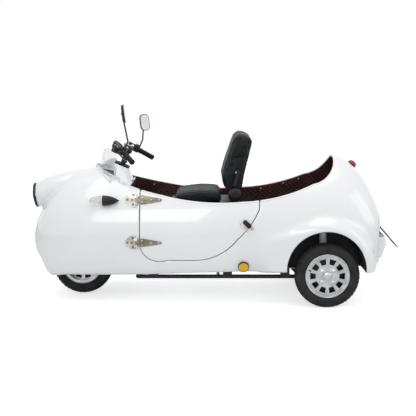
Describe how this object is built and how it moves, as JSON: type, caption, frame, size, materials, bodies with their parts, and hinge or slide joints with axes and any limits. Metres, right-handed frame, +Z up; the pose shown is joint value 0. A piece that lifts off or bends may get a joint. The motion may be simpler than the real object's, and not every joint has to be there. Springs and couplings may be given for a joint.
{
  "type": "electric trike",
  "caption": "Open-topped electric three-wheeler with a torpedo-shaped moulded hull, side door, handlebar steering and a driver's seat.",
  "frame": {"origin": "on the ground, at the bottom centre of the overall box", "axes": "+X forward to the headlamp, +Y to the rider's left, +Z up"},
  "size_m": [2.4424, 0.88, 1.2785],
  "materials": {
    "white_gelcoat": "gloss",
    "black_paint": "satin",
    "black_plastic": "matte",
    "steel": "brushed",
    "alloy": "polished",
    "tyre": "matte",
    "rubber": "matte",
    "leatherette": "satin",
    "quilt": "satin",
    "clear": "clear",
    "lamp_glass": "dark clear",
    "amber": "clear amber",
    "red": "red",
    "mirror": "mirror",
    "motor": "painted"
  },
  "bodies": {
    "body": {"body_shell": "white_gelcoat", "cockpit_lining": "quilt", "bulkhead": "white_gelcoat", "steering_tower": "white_gelcoat", "tower_gasket": "rubber", "windscreen": "clear", "windscreen_flange": "white_gelcoat", "headlamp_ring": "black_plastic", "headlamp_lens": "lamp_glass", "tail_lamp": "red", "indicator_cases": "black_plastic", "indicator_lenses": "amber", "side_reflectors": "amber", "rear_bumper": "white_gelcoat", "plate_bracket": "black_paint", "number_plate": "black_plastic", "chassis_frame": "black_paint", "rear_axle": "black_paint", "drive_motor": "motor", "shock_absorbers": "white_gelcoat", "seat_base": "black_paint", "battery_pack": "black_plastic", "seat_cushion": "leatherette", "rear_bench": "white_gelcoat", "rear_bench_cushion": "leatherette", "hinge_leaves_and_striker": "steel"},
    "seat_back": {"seat_backrest": "leatherette"},
    "door": {"door_panel": "white_gelcoat", "door_lining": "quilt", "door_straps": "steel", "door_latch": "steel"},
    "steering": {"front_fork": "black_paint", "handlebar": "black_paint", "instrument_pod": "black_plastic", "grips": "rubber", "brake_levers": "black_paint", "mirrors": "black_plastic", "mirror_glasses": "mirror"},
    "front_wheel": {"front_tyre": "tyre", "front_rim": "alloy", "front_brake_disc": "steel"},
    "rear_wheel_left": {"rear_tyre_left": "tyre", "rear_rim_left": "alloy"},
    "rear_wheel_right": {"rear_tyre_right": "tyre", "rear_rim_right": "alloy"}
  },
  "joints": [
    {"name": "steering", "type": "hinge", "parent": "body", "child": "steering", "pos_m": [0.891, 0, 0.207], "axis": [-0.3811, 0, 0.9245], "range_deg": [-27, 43]},
    {"name": "front_wheel_spin", "type": "hinge", "parent": "steering", "child": "front_wheel", "pos_m": [0.891, 0, 0.207], "axis": [0.1287, 0.9903, 0.053], "continuous": true},
    {"name": "rear_wheel_left_spin", "type": "hinge", "parent": "body", "child": "rear_wheel_left", "pos_m": [-0.709, 0.38, 0.207], "axis": [0, 1, 0], "continuous": true},
    {"name": "rear_wheel_right_spin", "type": "hinge", "parent": "body", "child": "rear_wheel_right", "pos_m": [-0.709, -0.38, 0.207], "axis": [0, 1, 0], "continuous": true},
    {"name": "door_swing", "type": "hinge", "parent": "body", "child": "door", "pos_m": [0.49579, 0.424, 0.421], "axis": [0, 0.2504, -0.9681], "range_deg": [0, 75]},
    {"name": "backrest_recline", "type": "hinge", "parent": "body", "child": "seat_back", "pos_m": [-0.127, 0, 0.7], "axis": [0, -1, 0], "range_deg": [0, 30]}
  ]
}
